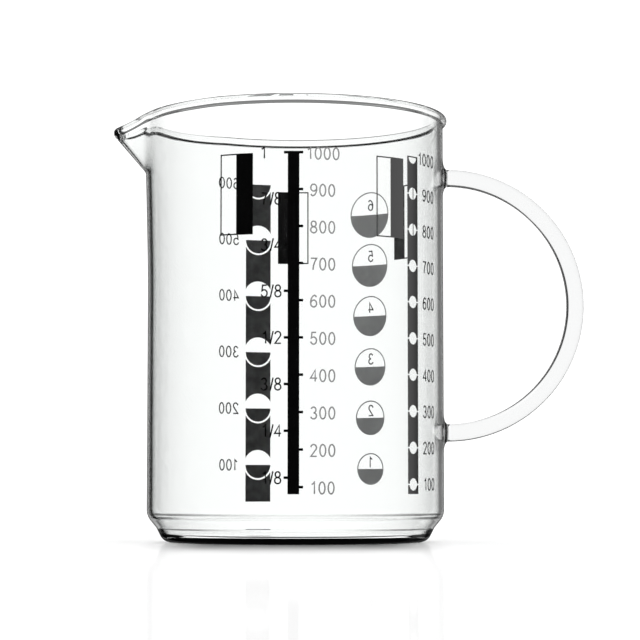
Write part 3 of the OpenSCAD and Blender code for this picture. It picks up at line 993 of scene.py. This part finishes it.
def light_panel(name, receivers, size, core, edge, strength):
    """Square light panel that is seen only in the given pieces. It is white inside the core, given as
    its left, right, low and high limits in metres, and fades to nothing over the edge."""
    half = size / 2
    mesh = bpy.data.meshes.new(name)
    mesh.from_pydata(
        [(-half, -half, 0), (half, -half, 0), (half, half, 0), (-half, half, 0)], [], [(0, 1, 2, 3)]
    )
    obj = new_object(name, mesh)
    mat, nodes, links = node_material(name)
    tree = mat.node_tree
    nodes.remove(nodes["Principled BSDF"])
    place = nodes.new("ShaderNodeTexCoord")
    split = nodes.new("ShaderNodeSeparateXYZ")
    links.new(place.outputs["Object"], split.inputs["Vector"])
    left, right, low, high = core
    fade = strength
    for axis, first, last, start, end in (
        ("X", left - edge, left, 0.0, 1.0),
        ("X", right, right + edge, 1.0, 0.0),
        ("Y", low - edge, low, 0.0, 1.0),
        ("Y", high, high + edge, 1.0, 0.0),
    ):
        side = ramp_node(tree, split.outputs[axis], first, last, start, end)
        fade = math_node(tree, "MULTIPLY", side, fade)
    emit = nodes.new("ShaderNodeEmission")
    links.new(fade, emit.inputs["Strength"])
    clear = nodes.new("ShaderNodeBsdfTransparent")
    both = nodes.new("ShaderNodeAddShader")
    links.new(clear.outputs["BSDF"], both.inputs[0])
    links.new(emit.outputs["Emission"], both.inputs[1])
    links.new(both.outputs["Shader"], nodes["Material Output"].inputs["Surface"])
    mat.cycles.emission_sampling = "NONE"
    obj.data.materials.append(mat)
    obj.visible_camera = False
    obj.visible_diffuse = False
    obj.visible_shadow = False
    lit = bpy.data.collections.new(name + "_lit")
    for piece in receivers:
        lit.objects.link(piece)
    obj.light_linking.receiver_collection = lit
    return obj


# White sheet that the jug stands on, in metres: its size, and the gap under the foot
SHEET_R = 0.6
SHEET_SIDES = 96
SHEET_GAP = 0.0001
SHEET_WHITE = 0.93
SHEET_ROUGH = 0.9
# Share of mirror-like gloss on the sheet, and its roughness
SHINE_SHARE = 0.18
SHINE_ROUGH = 0.05
# Painted shadow in the floor's colour in front of the jug, where the backlight's shade falls, in
# metres, and how dark it is
SHADE_Y = (-0.225, -0.045)
SHADE_X = (0.026, 0.056)
SHADE_BACK = 0.03
SHADE_DARK = 0.7
SHADE_POWER = 4.0
floor_mesh = bpy.data.meshes.new("studio_floor")
turns = [2 * math.pi * i / SHEET_SIDES for i in range(SHEET_SIDES)]
sheet_edge = [(SHEET_R * math.cos(t), SHEET_R * math.sin(t), 0) for t in turns]
floor_mesh.from_pydata(sheet_edge, [], [range(SHEET_SIDES)])
floor = new_object("studio_floor", floor_mesh)
floor.location.z = -SHEET_GAP
floor_mat, nodes, links = node_material("floor_white")
matt = nodes["Principled BSDF"]
matt.inputs["Roughness"].default_value = SHEET_ROUGH
matt.inputs["Specular IOR Level"].default_value = 0.0
place = nodes.new("ShaderNodeTexCoord")
split = nodes.new("ShaderNodeSeparateXYZ")
links.new(place.outputs["Object"], split.inputs["Vector"])
tree = floor_mat.node_tree
# Painted shadow: the floor's white is darkened in front of the jug
ahead = ramp_node(tree, split.outputs["Y"], *SHADE_Y, 0.0, 1.0)
ahead = math_node(tree, "POWER", ahead, SHADE_POWER)
aside = math_node(tree, "ABSOLUTE", split.outputs["X"])
aside = ramp_node(tree, aside, *SHADE_X, SHADE_DARK, 0.0)
behind = ramp_node(tree, split.outputs["Y"], 0.0, SHADE_BACK, 1.0, 0.0)
painted_shadow = math_node(tree, "MULTIPLY", math_node(tree, "MULTIPLY", ahead, aside), behind)
white = math_node(tree, "MULTIPLY", math_node(tree, "SUBTRACT", 1.0, painted_shadow), SHEET_WHITE)
links.new(white, matt.inputs["Base Color"])
shine = nodes.new("ShaderNodeBsdfGlossy")
shine.inputs["Roughness"].default_value = SHINE_ROUGH
both = nodes.new("ShaderNodeMixShader")
both.inputs["Fac"].default_value = SHINE_SHARE
links.new(matt.outputs["BSDF"], both.inputs[1])
links.new(shine.outputs["BSDF"], both.inputs[2])
links.new(both.outputs["Shader"], nodes["Material Output"].inputs["Surface"])
floor.data.materials.append(floor_mat)
floor.visible_transmission = False
floor.visible_glossy = False

# Backlight behind the jug, as seen from the camera, a dim one beside it on the right, and a broader
# one for the rod
glass_pieces = [vessel, *welds]
back = light_panel(
    "studio_backlight", [*glass_pieces, floor],
    size=5.0, core=(-0.72, 0.54, -1.9, 0.60), edge=0.24, strength=1.21,
)
back.parent = camera
back.location = (0.03, 0.0, -2.81)
fill = light_panel(
    "studio_right_fill", glass_pieces,
    size=6.0, core=(0.74, 2.6, -1.9, 1.0), edge=0.20, strength=0.24,
)
fill.parent = camera
fill.location = (0.03, 0.0, -3.0)
rod_back = light_panel(
    "studio_rod_light", [handle],
    size=6.0, core=(-1.6, 0.36, -1.6, 0.29), edge=0.10, strength=1.0,
)
rod_back.parent = camera
rod_back.location = (0.08, 0.1, -1.31)

# Soft light from above for the rim, and a dim ceiling that lightens the rim's lines
top = light_panel(
    "studio_top_light", glass_pieces,
    size=3.0, core=(-0.85, 0.85, -0.85, 0.85), edge=0.35, strength=1.0,
)
top.location.z = 1.2
ceiling = light_panel(
    "studio_ceiling", glass_pieces,
    size=12.0, core=(-4.5, 4.5, -4.5, 4.5), edge=1.0, strength=0.22,
)
ceiling.location.z = 1.3

# Softbox on the right, which the glossy sugar prints mirror
side = light_panel(
    "studio_side_light", [sugar_bar, sugar_panel],
    size=3.0, core=(-0.8, 0.8, -0.8, -0.2), edge=0.60, strength=1.65,
)
side.location = (1.2, 0.15, 0.1)
side.rotation_euler.y = math.pi / 2

# World: white to the camera and for the floor's light, dark in the glass
WORLD_WHITE = 1.25
WORLD_DARK = 0.03
world = bpy.data.worlds.new("studio")
scene.world = world
world.use_nodes = True
tree = world.node_tree
wn, wl = tree.nodes, tree.links
path = wn.new("ShaderNodeLightPath")
matt_light = math_node(tree, "MINIMUM", path.outputs["Diffuse Depth"], 1.0)
plain = math_node(tree, "MAXIMUM", path.outputs["Is Camera Ray"], matt_light)
wn["Background"].inputs["Color"].default_value = (1, 1, 1, 1)
strength = ramp_node(tree, plain, 0.0, 1.0, WORLD_DARK, WORLD_WHITE)
wl.new(strength, wn["Background"].inputs["Strength"])
world.cycles.sampling_method = "NONE"

scene.view_settings.view_transform = "Standard"
scene.view_settings.look = "None"
scene.cycles.max_bounces = 24
scene.cycles.transmission_bounces = 24
scene.cycles.glossy_bounces = 12
scene.cycles.transparent_max_bounces = 12
